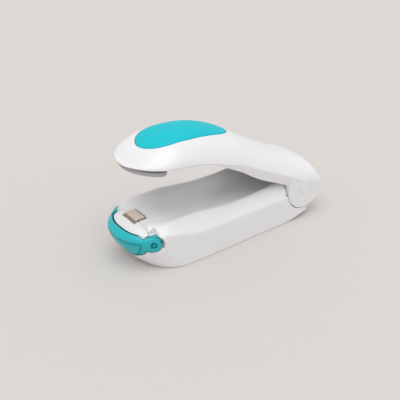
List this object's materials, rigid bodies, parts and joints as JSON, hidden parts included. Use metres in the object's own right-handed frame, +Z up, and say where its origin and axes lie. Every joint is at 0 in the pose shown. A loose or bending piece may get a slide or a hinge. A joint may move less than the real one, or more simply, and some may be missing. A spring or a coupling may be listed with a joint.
{
  "type": "mini bag sealer",
  "caption": "Pocket heat sealer: a hinged arm, pressed by the thumb, closes on a heated strip at the nose of a battery base and welds a plastic bag shut; a swing-up clip guards the strip.",
  "frame": {"origin": "on the surface it stands on, below the middle of the whole object with its arm open", "axes": "+Z up, the nose with the heating strip towards -Y, the hinge towards +Y, +X across"},
  "size_m": [0.0384, 0.1008, 0.0545],
  "materials": {
    "white_shell": "semi-gloss",
    "white_inner": "satin",
    "teal_pad": "soft satin",
    "teal_clip": "semi-gloss",
    "beige_tape": "woven, coated",
    "black_phenolic": "matt",
    "grey_rubber": "matt",
    "steel": "zinc plated",
    "spring_steel": "drawn wire",
    "nickel": "nickel plated",
    "cell_wrap": "film wrap",
    "red_lead": "satin",
    "black_lead": "satin"
  },
  "bodies": {
    "base": {"base_shell": "white_shell", "base_plate": "white_inner", "base_screw_left": "steel", "base_screw_right": "steel", "clip_pin_left": "steel", "clip_pin_right": "steel", "heater_spring_left": "spring_steel", "heater_spring_right": "spring_steel", "switch_contact_left": "nickel", "switch_contact_right": "nickel", "battery_cell_left": "cell_wrap", "battery_cell_right": "cell_wrap", "contact_left": "nickel", "contact_right": "nickel", "contact_bridge": "nickel", "contact_spring_left": "spring_steel", "contact_spring_right": "spring_steel", "lead_red": "red_lead", "lead_black": "black_lead", "lead_link": "black_lead", "torsion_spring": "spring_steel"},
    "arm": {"arm_shell": "white_shell", "arm_liner": "white_inner", "thumb_pad": "teal_pad", "press_foot": "white_inner", "press_pad": "grey_rubber", "arm_screw_front": "steel", "arm_screw_rear": "steel", "foot_screw_left": "steel", "foot_screw_right": "steel", "hinge_pin": "steel", "hinge_cap_left": "white_shell", "hinge_cap_right": "white_shell"},
    "clip": {"safety_clip": "teal_clip"},
    "strip": {"heater_carrier": "black_phenolic", "heater_ribbon": "nickel", "heater_tape": "beige_tape", "tape_rod": "beige_tape", "switch_bar": "nickel"},
    "door": {"battery_door": "white_inner"}
  },
  "joints": [
    {"name": "arm_hinge", "type": "hinge", "parent": "base", "child": "arm", "pos_m": [0, 0.0402, 0.0152], "axis": [1, 0, 0], "range_deg": [0, 15.2], "stiffness_Nm_per_rad": 0.2, "springref_deg": -34.38, "deforming": ["torsion_spring"]},
    {"name": "clip_hinge", "type": "hinge", "parent": "base", "child": "clip", "pos_m": [0, -0.0412, 0.0131], "axis": [1, 0, 0], "range_deg": [-30, 0]},
    {"name": "strip_slide", "type": "slide", "parent": "base", "child": "strip", "axis": [0, 0, 1], "range_m": [-0.0012, 0], "stiffness_N_per_m": 800, "springref_m": 0.001, "deforming": ["heater_spring_left", "heater_spring_right"]},
    {"name": "door_slide", "type": "slide", "parent": "base", "child": "door", "axis": [0, 1, 0], "range_m": [0, 0.003]}
  ]
}
